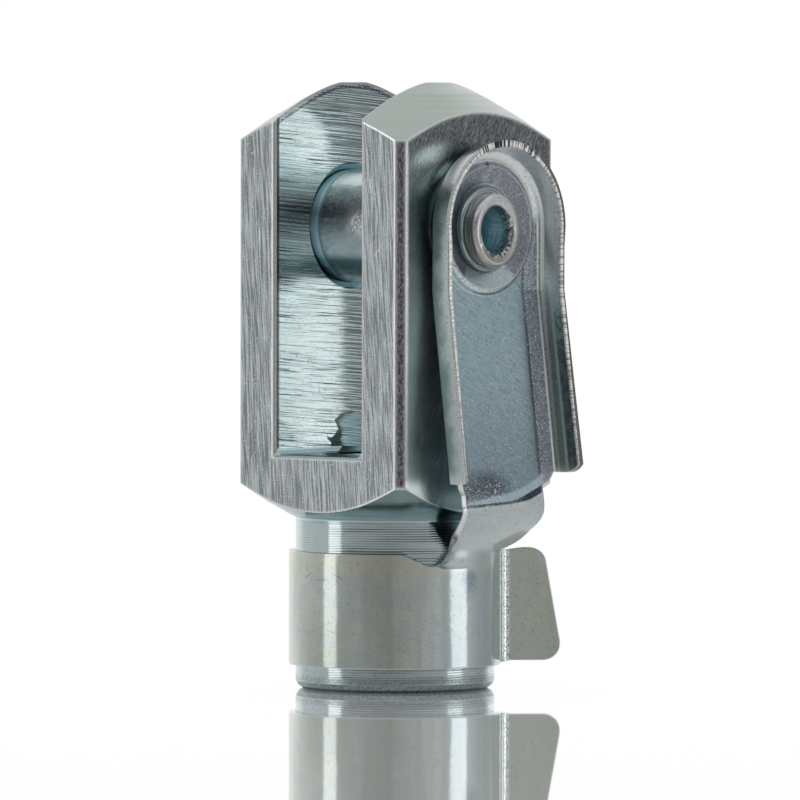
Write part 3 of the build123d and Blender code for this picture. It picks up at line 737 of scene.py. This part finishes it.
def pin_finish():
    """Smooth turned and plated steel, with a warm tone where the lip was rolled, and painted light
    and shade between the ears and on the lip, tube and bore.
    """
    steel = Plating("pin_polished", 0.06)
    blend = steel.nodes.blend
    y = steel.y
    up = steel.z - PIN_HEIGHT
    radius = distance(y, up)
    x = steel.x + y * LIP_TILT * steel.x.rise(DISH_FACE, DISH_FACE + BEND_LENGTH)
    ring = steel.streaks(steel.x, radius, 0.07, 3.0, 61.0, 3)
    cloud = steel.mottle(0.9, 62)
    grain = steel.mottle(0.20, 63, 4)

    slot_stretch = x.rise(SLOT_STRETCH_START, SLOT_STRETCH_START + 0.2) * (1 - x.rise(0.5, 1.5))
    steel.start(cloud.rise(0.3, 0.7), PIN_BLUE, PIN_LIGHT)
    # Painted shade: a mottled brown band along the pin between the ears.
    painted_brown_shade = up.near(1.2, 2.6).at_least(0.25) * slot_stretch * (0.6 + 0.4 * grain.rise(0.4, 0.6))
    steel.paint(painted_brown_shade, PIN_SHADE_BROWN)
    # Painted highlights: a speckled lit patch, and a gleam along the top whose shading is also
    # turned.
    painted_lit_patch = (x - up.near(0.4, 2.0) * 0.9).rise(-2.4, -1.2) * grain.rise(0.44, 0.56)
    steel.paint(slot_stretch * painted_lit_patch * up.near(0.2, 1.8) * 0.9, PIN_HIGHLIGHT)
    upper_gleam = (up + cloud * 0.3).near(3.45, 0.75) * slot_stretch
    steel.paint(upper_gleam, ICE_WHITE)
    steel.lean((0.45, 0.0, 0.0), upper_gleam.rise(0.0, 0.6))
    # Painted reflection: a teal band low on the pin. Then a painted shadow line by the left wall
    # and a painted highlight band beside it.
    steel.paint(up.near(-2.6, 0.8) * slot_stretch * 0.6, PIN_REFLECTION_TEAL)
    steel.paint(x.near(-3.68, 0.07) * 0.7, (0.10, 0.16, 0.18))
    steel.paint(x.near(-3.95, 0.30) * 0.9, (0.95, 1.0, 1.0))

    rolled = x.rise(DISH_FACE, DISH_FACE + 0.4)
    # Painted light and shade: the rolled lip lighter on top, darker below.
    steel.paint(rolled, blend((up - y * 0.3).rise(-1.0, 2.0), LIP_SHADED, LIP_LIT))
    steel.paint(rolled * grain.rise(0.48, 0.62) * 0.35, (0.40, 0.38, 0.39))
    warm = rolled * (1 - (up + y * 0.4).rise(-2.4, -0.8))
    steel.paint(warm * cloud.rise(0.4, 0.55) * 0.6, LIP_WARM)
    # Painted shade on the tube's side, less towards the top, with painted highlights in streaks.
    side = x.rise(DISH_FACE + 0.28, DISH_FACE + 0.36)
    side = side * (1 - x.rise(SPIGOT_END - 0.4, SPIGOT_END - 0.25))
    side = side * (radius > TUBE_RADIUS - 0.45) * (1 - up.rise(0.8, 2.4) * 0.7)
    steel.paint(side * 0.85, (0.20, 0.21, 0.21))
    steel.paint(side * ring.rise(0.60, 0.66) * 0.5, (0.75, 0.85, 0.85))
    # Painted shade at the tube's foot on the bead, in ridged lines.
    ridge = ((x + radius) * (2 * pi / RIDGE_PITCH)).sine().rise(0.0, 0.8)
    on_bead = x.rise(DISH_FACE, DISH_FACE + 0.05) * (1 - x.rise(DISH_FACE + 0.4, DISH_FACE + 0.6))
    steel.paint(on_bead * (0.35 + 0.5 * ridge), (0.20, 0.27, 0.28))

    from_hole = distance(y - HOLE_SIDEWAYS, up + HOLE_DROP)
    inside = (x > PIN_SHOULDER - 2) * (from_hole < HOLE_RADIUS + 0.08)
    drill = steel.streaks(x, y.angle(up) * HOLE_RADIUS, 0.16, 2.6, 65.0, 3)
    bore_tone = blend(drill.rise(0.42, 0.62), BORE_TEAL, BORE_LIGHT)
    # Painted highlight midway down the bore, painted shade towards its mouth.
    bore_tone = blend(x.near(8.0, 0.9) * up.rise(-1.4, 0.6) * 0.7, bore_tone, WHITE)
    bore_tone = blend(x.rise(8.7, 9.2) * 0.75, bore_tone, BORE_SHADE)
    steel.paint(inside, bore_tone)

    chips = steel.nodes.add("ShaderNodeTexVoronoi", None, {"Vector": steel.place, "Scale": 5.5},
                            "Color")
    torn = steel.nodes.axes(chips)[0]
    broken_rim = from_hole.near(HOLE_RADIUS + 0.02, 0.20).rise(0.1, 0.5)
    broken_rim = broken_rim * x.rise(SPIGOT_END - 1.1, SPIGOT_END - 0.7)
    broken_rim = broken_rim * (1 - (up * 0.9 + y * 0.1).rise(0.5, 1.3))
    shiny = torn.rise(0.60, 0.66)
    chip_tone = blend(torn.rise(0.1, 0.6), CHIP_DARK, CHIP_GREY)
    steel.paint(broken_rim * 0.9, blend(shiny, chip_tone, WHITE))
    tear = oval(y, up, TEAR_PLACE, TEAR_SIZE) + (grain - 0.5) * 3.0
    tear = (1 - tear.rise(0.6, 1.1)) * (x > SPIGOT_END - TEAR_REACH)
    steel.paint(tear, WHITE)
    steel.lean((0.0, -0.17, 0.0), tear.at_least(broken_rim * shiny * 0.8))
    # Painted highlight along the crest of the rolled lip.
    crest = from_hole.near(HOLE_RADIUS + 0.52, 0.09) * x.rise(SPIGOT_END - 0.4, SPIGOT_END - 0.2)
    steel.paint(crest * 0.6, WHITE)
    roughness = 0.14 + 0.14 * cloud + rolled * 0.10 - crest * 0.08 + inside * 0.25
    return steel.finish(roughness, ring * 0.004 + cloud * 0.01 + broken_rim * torn * 0.05)


pin = placed("riveted_pin", pin_mesh())
pin.data.materials.append(pin_finish())
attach(pin, "clip_and_pin")
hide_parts("clevis_pin")


# Spring clip. One piece of 0.45 mm spring steel strip, blanked, drawn and bent, then plated: a
# round head with a dished boss, a channel, a joggle and a C collar with a thumb tab. Its sheared
# edges are painted bright, as bare metal and as painted highlight, and the passivation runs from
# blue on the web to olive on the collar. Much of its light and shade is painted.

COLLAR_TOP = 9.7
CREASE_MIDDLE = 13.32
CREASE_HEIGHT = 13.6
WEB_BRIGHT_HEIGHT = 24.0
DISC_RADIUS = 4.45
WEB_EDGE = 4.0
FOLD_EDGE = 5.2
RIM_HEIGHT = 10.6
LEAN_START = 28.1
LEAN_SLOPE = 0.13
FRONT_START = 7.5
TAB_ROOT = 7.6
PIT_PLACE = (-0.2, 4.45)
LOW_PLACE, LOW_SIZE = (-1.8, 14.25), (1.8, 1.0)
BLUE_PATCH_PLACE, BLUE_PATCH_SIZE = (-0.3, 8.0), (0.8, 1.5)
WEB_GRAIN = (0.88, 0.47)
TOOTH_WIDTH = 0.15

WEB_SHADED, WEB_LIT = (0.32, 0.42, 0.48), (0.46, 0.62, 0.68)
DISC_DARK, DISC_GREY = (0.265, 0.28, 0.33), (0.42, 0.44, 0.49)
FAN_REFLECTION_BLUE, FAN_REFLECTION_LIGHT = (0.56, 0.70, 0.75), (0.70, 0.82, 0.86)
STRIP_SHADE_DARK, STRIP_SHADE_GREY = (0.17, 0.19, 0.22), (0.33, 0.38, 0.43)
FLANGE_SHADED, FLANGE_LIT = (0.26, 0.28, 0.26), (0.95, 1.0, 1.0)
OUTSIDE_SHADED, OUTSIDE_LIT = (0.38, 0.46, 0.47), (0.78, 0.88, 0.88)
JOGGLE_BLUE, JOGGLE_GREY = (0.68, 0.76, 0.78), (0.76, 0.81, 0.82)
OLIVE_DARK, OLIVE_LIGHT = (0.53, 0.57, 0.505), (0.68, 0.72, 0.68)
OLIVE_YELLOW, OLIVE_BLUE, TAB_OLIVE = (0.66, 0.65, 0.50), (0.60, 0.68, 0.73), (0.76, 0.81, 0.70)
RIM_LIT_LEFT, RIM_SHADED_RIGHT = (0.70, 0.74, 0.73), (0.26, 0.25, 0.24)


class Strip(Plating):
    """The clip's finish, with the masks that mark off its parts."""

    def __init__(self):
        super().__init__("clip_plated", 0.14)
        x, y, z = self.x, self.y, self.z
        self.up = z - PIN_HEIGHT
        self.radius = distance(y, self.up)
        self.above = self.up.at_least(0)
        self.from_middle = distance(y, self.above)
        self.from_axis = distance(x, y)
        self.flat = x - (LEAN_START - z).at_least(0) * LEAN_SLOPE
        self.front = x > FRONT_START
        self.root = x.rise(6.7, 7.2)
        self.drop = z - CREASE_MIDDLE - y * 0.04 - y.at_least(0).at_most(4) ** 2 * 0.05
        self.below_crease = 1 - self.drop.rise(-0.05, 0.05)
        self.above_crease = 1 - self.below_crease
        self.collar = 1 - z.rise(COLLAR_TOP - 1.0, COLLAR_TOP + 2.5)
        disc_radius = self.radius - self.up.rise(0, 1.5) * 0.4
        self.disc = 1 - disc_radius.rise(DISC_RADIUS - 0.2, DISC_RADIUS + 0.2)
        self.flange = self.from_middle.rise(FOLD_EDGE, FOLD_EDGE + 0.1) * self.above_crease
        self.inner_flange = (y > 0) * (self.from_middle < 5.75)
        across = y * WEB_GRAIN[1] + z * WEB_GRAIN[0]
        along = y * WEB_GRAIN[0] - z * WEB_GRAIN[1]
        self.grain = self.streaks(across, along, 0.085, 1.2, 71.0, 3)
        self.fine = self.mottle(0.13, 76, 5)
        self.speck = self.mottle(0.13, 72, 2).rise(0.64, 0.69)
        self.cloud = self.mottle(1.6, 73)
        # Painted highlight: the glow high on the near flange's outside.
        self.glow = (1 - y.rise(-3.4, -2.2)) * (self.up + self.cloud * 1.2).rise(2.6, 3.8)
        # Bare metal and painted highlight: the sheared side facing the front, just above the
        # collar.
        cut_side = (0 - self.facing[1]).rise(0.2, 0.5) * z.rise(COLLAR_TOP - 0.2, COLLAR_TOP + 0.3)
        self.cut_side = cut_side * (1 - z.rise(15.0, 16.0)) * self.front


def paint_web(steel):
    """The channel's flat web: satin blue-grey, with painted shade that makes it darker and greyer
    towards the crease.
    """
    # Painted shade: lighter high on the web, darker down to the crease.
    steel.start(steel.z.rise(CREASE_HEIGHT, WEB_BRIGHT_HEIGHT), WEB_SHADED, WEB_LIT)
    steel.paint(steel.grain.rise(0.46, 0.58) * 0.32, (0.17, 0.22, 0.28))
    steel.paint(steel.fine.rise(0.52, 0.62) * 0.30, (0.66, 0.80, 0.86))


def paint_disc(steel):
    """The boss round the rivet: a violet-grey disc with one pit, a painted blotchy gleam on top, a
    painted pale reflection in a fan low down and a painted highlight on its lower rim.
    """
    blend = steel.nodes.blend
    y, up, radius, fine = steel.y, steel.up, steel.radius, steel.fine
    disc_tone = blend(fine.rise(0.36, 0.64), DISC_DARK, DISC_GREY)
    disc_tone = blend(steel.speck * 0.3, disc_tone, (0.80, 0.84, 0.90))
    # Painted highlight: a blotchy gleam high on the disc.
    gleam = 1 - ((y - 0.4) ** 2 * 0.6 + (up - 3.5) ** 2).rise(0.1, 0.9)
    blotch = steel.mottle(0.6, 79).rise(0.46, 0.56)
    disc_tone = blend(gleam * blotch * 0.35, disc_tone, (0.78, 0.88, 0.96))
    # Painted reflection: a pale fan low on the disc.
    fan = (1 - (up + radius * 0.80).rise(-0.1, 0.1)) * radius.rise(3.1, 3.3)
    fan_reflection_tone = blend(fine.rise(0.4, 0.6), FAN_REFLECTION_BLUE, FAN_REFLECTION_LIGHT)
    steel.paint(steel.disc, blend(fan * 0.85, disc_tone, fan_reflection_tone))
    pit = distance(y - PIT_PLACE[0], up - PIT_PLACE[1])
    steel.paint((1 - pit.rise(0.12, 0.28)) * steel.front * 0.85, (0.10, 0.07, 0.08))
    # Painted highlight: broken bright dashes on the disc's lower rim.
    disc_rim_highlight = radius.near(DISC_RADIUS + 0.02, 0.16).rise(0.1, 0.6) * (1 - up.rise(1.5, 3.5))
    steel.paint(disc_rim_highlight * fine.rise(0.40, 0.48) * 0.9, (0.95, 1.0, 1.0))


def paint_flanges(steel):
    """Painted shade in a strip beside the web, painted highlights on the folds, and the two
    flanges with their painted light and shade.
    """
    blend = steel.nodes.blend
    y, z, up, flat = steel.y, steel.z, steel.up, steel.flat
    # Painted shade: a dark strip beside the web. Painted highlight: a bright arc inside the upper
    # fold.
    beside = 1 - steel.above.rise(0, 1)
    strip = steel.from_middle.rise(WEB_EDGE - 0.45, WEB_EDGE - 0.15) * (1 - steel.disc)
    shade_strip_tone = blend(steel.fine.rise(0.38, 0.64), STRIP_SHADE_DARK, STRIP_SHADE_GREY)
    steel.paint(strip * steel.above_crease * beside, shade_strip_tone)
    arc_glow = steel.from_middle.rise(4.45, 5.05) * (1 - steel.flange) * steel.above.rise(0.2, 1.6)
    steel.paint(arc_glow, WHITE)

    # Painted light and shade on the flanges: lighter high up; grey at the inner flange's foot,
    # with dark blotches and a pale line low on it; the outer flange lighter outwards; a painted
    # highlight high on the near flange.
    tone = blend(z.rise(22.0, 29.0), FLANGE_SHADED, FLANGE_LIT)
    foot = steel.inner_flange * (1 - flat.rise(9.5, 9.7)) * (1 - up.rise(-6, -3))
    tone = blend(foot * 0.7, tone, (0.44, 0.46, 0.45))
    lower_inner = steel.inner_flange * (1 - up.rise(-7, -3))
    blotch = steel.mottle(0.7, 84).rise(0.44, 0.58)
    tone = blend(lower_inner * flat.rise(9.75, 9.95) * blotch * 0.6, tone, (0.08, 0.09, 0.08))
    tone = blend(lower_inner * flat.near(9.72, 0.20) * 0.75, tone, (0.86, 1.0, 0.96))
    outward = (flat + (steel.cloud - 0.5) * 2.4).rise(9.1, 10.3)
    tone = blend(1 - y.rise(-1, 1), tone, blend(outward, OUTSIDE_SHADED, OUTSIDE_LIT))
    steel.paint(steel.flange, blend(steel.glow * 0.9, tone, WHITE))
    # Painted highlight along the inner fold.
    fold = steel.from_middle.near(FOLD_EDGE - 0.13, 0.14) * steel.above_crease
    steel.paint(fold * 0.95 * beside, WHITE)


def paint_joggle(steel):
    """The web's speckled foot, a painted highlight and painted shade at the crease under it, and
    the plain strip down to the collar, painted lighter near its foot.
    """
    blend = steel.nodes.blend
    y, z, drop, fine = steel.y, steel.z, steel.drop, steel.fine
    low = 1 - oval(y, z, LOW_PLACE, LOW_SIZE).rise(0.7, 1.8)
    low = low * steel.above_crease * steel.front
    steel.paint(low * (0.35 + 0.6 * fine.rise(0.45, 0.52)), (0.06, 0.07, 0.10))
    # Painted highlight: a pale band just above the crease.
    lip_width = 0.12 + (y + 4.0).at_least(0) * 0.08
    pale = steel.above_crease * (1 - (drop - lip_width).rise(0, 0.35)) * steel.front
    steel.paint(pale * (1 - abs(y).rise(3.8, 4.2)) * 0.8, (0.60, 0.78, 0.86))
    low_speck = low * (fine + (14.4 - z) * 0.05).rise(0.58, 0.62)
    steel.paint(low_speck * 0.9, (0.90, 0.95, 1.0))
    plain = blend(steel.cloud.rise(0.3, 0.7), JOGGLE_BLUE, JOGGLE_GREY)
    # Painted highlight: the plain strip lighter just above the collar.
    plain = blend(z.near(COLLAR_TOP + 1.0, 1.3) * 0.3, plain, WHITE)
    steel.paint(steel.below_crease, plain)
    # Painted shade: a dark line along the crease.
    thick = 0.05 + 0.15 * y.rise(0.6, 3.0)
    crease = 1 - (abs(drop) - thick).rise(0, 0.08)
    crease = crease * (0.4 + 0.6 * fine.rise(0.42, 0.50)).at_least(y.rise(1.0, 2.0)) * steel.front
    steel.paint(crease * 0.95 * (1 - y.rise(3.7, 4.1)), (0.03, 0.04, 0.07))


def paint_collar(steel):
    """The collar and its tab: smooth olive passivation with stains, nicks and hair scratches."""
    blend = steel.nodes.blend
    x, y, z, fine, cloud, out = steel.x, steel.y, steel.z, steel.fine, steel.cloud, steel.from_axis
    stripe = steel.streaks(y, z, 0.9, 20.0, 75.0, 1)
    olive = blend(stripe.rise(0.38, 0.62), OLIVE_DARK, OLIVE_LIGHT)
    olive = blend(cloud.rise(0.45, 0.62) * 0.25, olive, (0.60, 0.66, 0.68))
    yellow = (z + cloud * 4).rise(9.4, 11.2) * (x < FRONT_START)
    olive = blend(yellow * 0.5, olive, OLIVE_YELLOW)
    stained = steel.mottle(2.6, 80, 2).rise(0.50, 0.58)
    olive = blend(stained * 0.3, olive, (0.50, 0.57, 0.62))
    bluish = steel.rightward().rise(1.0, 4.5) * (1 - y.rise(6.4, 7.0))
    olive = blend(bluish * 0.65, olive, OLIVE_BLUE)
    olive = blend(out.rise(7.9, 8.1) * 0.6, olive, TAB_OLIVE)
    nick = steel.streaks(z + y * 0.3, y - x, 0.09, 0.6, 82.0, 2).rise(0.60, 0.64)
    nick = nick * z.near(4.4, 2.6) * y.near(-4.0, 4.0)
    olive = blend(nick * 0.5, olive, (0.32, 0.35, 0.30))
    scrape = steel.streaks(z - y * 0.5, y + x, 0.12, 0.5, 83.0, 2).rise(0.66, 0.70)
    olive = blend(scrape * out.rise(8.0, 8.4) * 0.7, olive, (0.28, 0.32, 0.30))
    # Painted highlight and shade on the tab's bend: a bright mottled line with a dark teal fringe.
    bend_painted_light = out.rise(TAB_ROOT - 0.04, TAB_ROOT + 0.06) * (1 - out.rise(8.0, 8.15)) * (y > 3)
    olive = blend(bend_painted_light * fine.rise(0.44, 0.52), olive, WHITE)
    olive = blend(bend_painted_light * (1 - fine.rise(0.40, 0.46)), olive, (0.36, 0.48, 0.48))
    streak = steel.mottle(0.5, 81, 3).rise(0.52, 0.58) * (y * 0.6 + x * 0.8 - 6.0).near(1.6, 1.2)
    olive = blend(streak * z.near(7.0, 2.4) * steel.front * 0.7, olive, (0.26, 0.34, 0.42))
    hair = steel.streaks(y + z * 0.4, z - y, 0.06, 1.5, 78.0, 1).rise(0.70, 0.75)
    olive = blend(hair * 0.7, olive, (0.26, 0.29, 0.28))
    # A dark blue patch on the collar's front.
    blue_patch = oval(y, z, BLUE_PATCH_PLACE, BLUE_PATCH_SIZE) + (fine - 0.5) * 1.5
    olive = blend((1 - blue_patch.rise(0.2, 1.2)) * (x > 6.5) * 0.75, olive, (0.30, 0.37, 0.46))
    under_bend = 1 - z.rise(COLLAR_TOP - 1.6, COLLAR_TOP - 0.6) * steel.root
    steel.paint(steel.collar * under_bend, olive)


def paint_wear(steel):
    """Pits and specks all over; the bright edges and sheared sides are wear and painted highlight
    together, and painted shade lies along the collar's top edge.
    """
    z, collar, front = steel.z, steel.collar, steel.front
    pit = steel.mottle(0.15, 74, 2).rise(0.62, 0.67)
    steel.paint(pit * (0.5 - collar * 0.25), (0.12, 0.13, 0.15))
    steel.paint(steel.speck * (1 - collar * 0.9) * 0.7, (0.93, 0.96, 0.98))
    smooth = z.near(COLLAR_TOP, 0.6).at_least(steel.drop.near(0.3, 0.8))
    smooth = smooth.at_least(steel.radius.near(DISC_RADIUS, 0.3))
    smooth = smooth.at_least(steel.from_middle.near(WEB_EDGE, 0.3)) * front
    smooth = smooth.at_least(z.near(COLLAR_TOP, 0.5))
    # Bright edges: wear and painted highlight together. The sheared side: bare metal and painted
    # highlight.
    steel.paint(steel.edge * (1 - smooth) * 0.8, PALE_STEEL)
    steel.paint(steel.cut_side, WHITE)
    # Painted shade along the collar's top edge.
    top_edge_shade = steel.facing[2].rise(0.5, 0.8) * z.near(COLLAR_TOP, 1.2) * (1 - front)
    steel.paint(top_edge_shade * 0.9, (0.10, 0.11, 0.11))


def clip_finish():
    """Plated strip, painted part by part, with the drawn head's ribbed rim last."""
    steel = Strip()
    x, y, z, up = steel.x, steel.y, steel.z, steel.up
    paint_web(steel)
    paint_disc(steel)
    paint_flanges(steel)
    paint_joggle(steel)
    paint_collar(steel)
    paint_wear(steel)

    # The ribbed rim: painted light on the near side and painted shade on the right. Its serrations
    # are painted as bright teeth with a painted dark line outside them, and on top as lit and
    # shaded teeth.
    path = y.angle(steel.above) * 6.0 + up.at_most(0)
    tooth = steel.streaks(path, steel.flat, TOOTH_WIDTH, 0.6, 77.0)
    rim = (steel.flat > RIM_HEIGHT - 0.12) * steel.above_crease
    outward = steel.from_middle - FOLD_EDGE - 0.46
    top = up.rise(2.5, 4.5) * y.rise(-3.4, -2.2) * (1 - y.rise(2.0, 4.0))
    bright = rim * (1 - outward.rise(0.20, 0.26)) * (0.30 + 0.62 * tooth.rise(0.42, 0.50))
    steel.paint(rim, steel.nodes.blend(y.rise(0, 3), RIM_LIT_LEFT, RIM_SHADED_RIGHT))
    steel.paint(bright, WHITE)
    steel.paint(rim * outward.near(0.27, 0.05) * (1 - top) * 0.8, (0.12, 0.13, 0.13))
    steel.paint(rim * top * tooth.rise(0.50, 0.54), WHITE)
    steel.paint(rim * top * (1 - tooth.rise(0.45, 0.49)), (0.03, 0.04, 0.04))

    steel.soften(0.24, rim)
    steel.lean((0.0, -0.17, 0.0), bright * (1 - top))
    steel.lean((0.3, 0.0, 0.0), steel.glow * steel.flange * (1 - rim))
    steel.soften(0.3, steel.radius.near(DISC_RADIUS, 0.5) * steel.front)
    steel.lean((0.15, 0.0, 0.0), steel.flange * steel.inner_flange * up.rise(-8, -4) * (1 - rim))
    middle = abs(y).near(0, 4.0).rise(0, 0.3)
    steel.soften(1.0, z.near(COLLAR_TOP, 1.2) * x.rise(6.0, 7.0) * middle)
    bend = z.rise(COLLAR_TOP - 1.3, COLLAR_TOP - 0.7)
    bend = bend * (1 - z.rise(COLLAR_TOP + 1.0, COLLAR_TOP + 2.5))
    bend = bend * steel.root * (1 - y.rise(1.5, 3.5)) * (1 - steel.cut_side)
    steel.lean((0.0, 0.0, 0.35), bend)
    steel.lean((0.0, 0.0, 0.5), steel.cut_side * (1 - z.rise(11.0, 12.5)))
    above_collar = 1 - steel.collar
    roughness = 0.09 + above_collar * 0.15 + steel.disc * 0.10 + steel.cloud * 0.05
    height = steel.grain * above_collar * 0.004 + steel.cloud * 0.012 + rim * tooth * 0.10
    return steel.finish(roughness - steel.edge * 0.06, height)


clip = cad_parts["spring_clip"]
clip.data.materials[0] = clip_finish()


# Studio. A glossy white table, a white backdrop, and a soft lamp at each side: tall on the left,
# low on the right. The room behind the camera is dim, which shapes the bare metal.

CAMERA_HEIGHT = 42.93
CAMERA_DISTANCE = 654.23
CAMERA_ANGLE = -46.9056
AIM_HEIGHT = 20.25
AIM_SIDE = 0.328
CAMERA_ROLL = 0.0838
FOCAL_LENGTH = 418.4
SENSOR_WIDTH = 36
LAMP_DISTANCE = 1.0
LAMP_AIM_HEIGHT = 0.02
TABLE_HALF_WIDTH = 4.0

# Brightness of the room against degrees round from the side behind the camera.
ROOM_LEVELS = [
    (-180, 1.0), (-145, 1.0), (-132, 0.72), (-115, 0.64), (-103, 0.54), (-62, 0.42), (-45, 0.35),
    (-5, 0.27), (20, 0.36), (45, 0.46), (92, 0.50), (106, 0.38), (117, 0.33), (128, 0.36),
    (143, 1.0), (180, 1.0)]

toward_camera = Vector((cos(radians(CAMERA_ANGLE)), sin(radians(CAMERA_ANGLE)), 0))
camera_right = Vector((-toward_camera.y, toward_camera.x, 0))


def studio_camera():
    lens = bpy.data.cameras.new("camera")
    lens.lens = FOCAL_LENGTH
    lens.sensor_width = SENSOR_WIDTH
    lens.clip_start = 0.01
    lens.clip_end = 50
    camera = bpy.data.objects.new("camera", lens)
    bpy.context.scene.collection.objects.link(camera)
    camera.location = (toward_camera * CAMERA_DISTANCE + Vector((0, 0, CAMERA_HEIGHT))) * MM
    target = (camera_right * AIM_SIDE + Vector((0, 0, AIM_HEIGHT))) * MM
    camera.rotation_euler = (target - camera.location).to_track_quat("-Z", "Y").to_euler()
    camera.rotation_euler.rotate_axis("Z", radians(CAMERA_ROLL))
    bpy.context.scene.camera = camera


def soft_lamp(name, side_angle, elevation, width, height, power):
    """A rectangular lamp that looks at the object, side_angle right of the camera."""
    angle = radians(side_angle)
    level = toward_camera * cos(angle) + camera_right * sin(angle)
    away = level * cos(radians(elevation)) + Vector((0, 0, sin(radians(elevation))))
    light = bpy.data.lights.new(name, "AREA")
    light.shape = "RECTANGLE"
    light.size = width
    light.size_y = height
    light.energy = power
    lamp = bpy.data.objects.new(name, light)
    bpy.context.scene.collection.objects.link(lamp)
    lamp.location = away * LAMP_DISTANCE + Vector((0, 0, LAMP_AIM_HEIGHT))
    lamp.rotation_euler = (-away).to_track_quat("-Z", "Y").to_euler()


def studio_world():
    """White behind the object, softer at the sides, dim towards the camera and above it."""
    world = bpy.data.worlds.new("studio")
    world.use_nodes = True
    world.node_tree.nodes.clear()
    bpy.context.scene.world = world
    nodes = Nodes(world.node_tree)
    look = nodes.add("ShaderNodeTexCoord")
    camera_ray = nodes.add("ShaderNodeLightPath")
    up = nodes.axes(look)[2]
    ahead, side = nodes.dot(look, toward_camera), nodes.dot(look, camera_right)
    turn = side.angle(ahead) / (2 * pi) + 0.5
    stops = [(0.5 + angle / 360, (level, level * 1.01, level)) for angle, level in ROOM_LEVELS]
    level = nodes.add("ShaderNodeValToRGB", {"stops": stops}, {0: turn})
    level = nodes.blend(ahead.rise(0.3, 0.6) * up.rise(0.12, 0.25), level, (0.13, 0.14, 0.15))
    level = nodes.blend(up.rise(0.4, 0.85), level, (0.62, 0.64, 0.63))
    level = nodes.blend(camera_ray, level, WHITE)
    glow = nodes.add("ShaderNodeBackground", None, {"Color": level, "Strength": 1.0})
    nodes.add("ShaderNodeOutputWorld", None, {"Surface": glow})


def table():
    """A wide glossy white table top, a little lighter to the eye than its light alone makes it."""
    shape = bmesh.new()
    bmesh.ops.create_grid(shape, x_segments=1, y_segments=1, size=TABLE_HALF_WIDTH)
    mesh = bpy.data.meshes.new("table")
    shape.to_mesh(mesh)
    shape.free()
    top = placed("table", mesh)
    material = bpy.data.materials.new("table_gloss")
    material.use_nodes = True
    material.node_tree.nodes.clear()
    nodes = Nodes(material.node_tree)
    seen = nodes.blend(nodes.add("ShaderNodeLightPath"), (0.0, 0.0, 0.0), (0.12, 0.12, 0.12))
    gloss = nodes.add("ShaderNodeBsdfPrincipled", None, {
        "Base Color": (0.93, 0.93, 0.93, 1), "Roughness": 0.04, "IOR": 1.6,
        "Coat Weight": 1.0, "Coat Roughness": 0.02,
        "Emission Color": seen, "Emission Strength": 1.0})
    nodes.add("ShaderNodeOutputMaterial", None, {"Surface": gloss})
    mesh.materials.append(material)


studio_camera()
studio_world()
table()
soft_lamp("lamp_left", side_angle=-75, elevation=14, width=0.30, height=0.9, power=0.68)
soft_lamp("lamp_right", side_angle=74, elevation=3, width=0.36, height=0.20, power=0.19)
bpy.context.scene.view_settings.view_transform = "Standard"
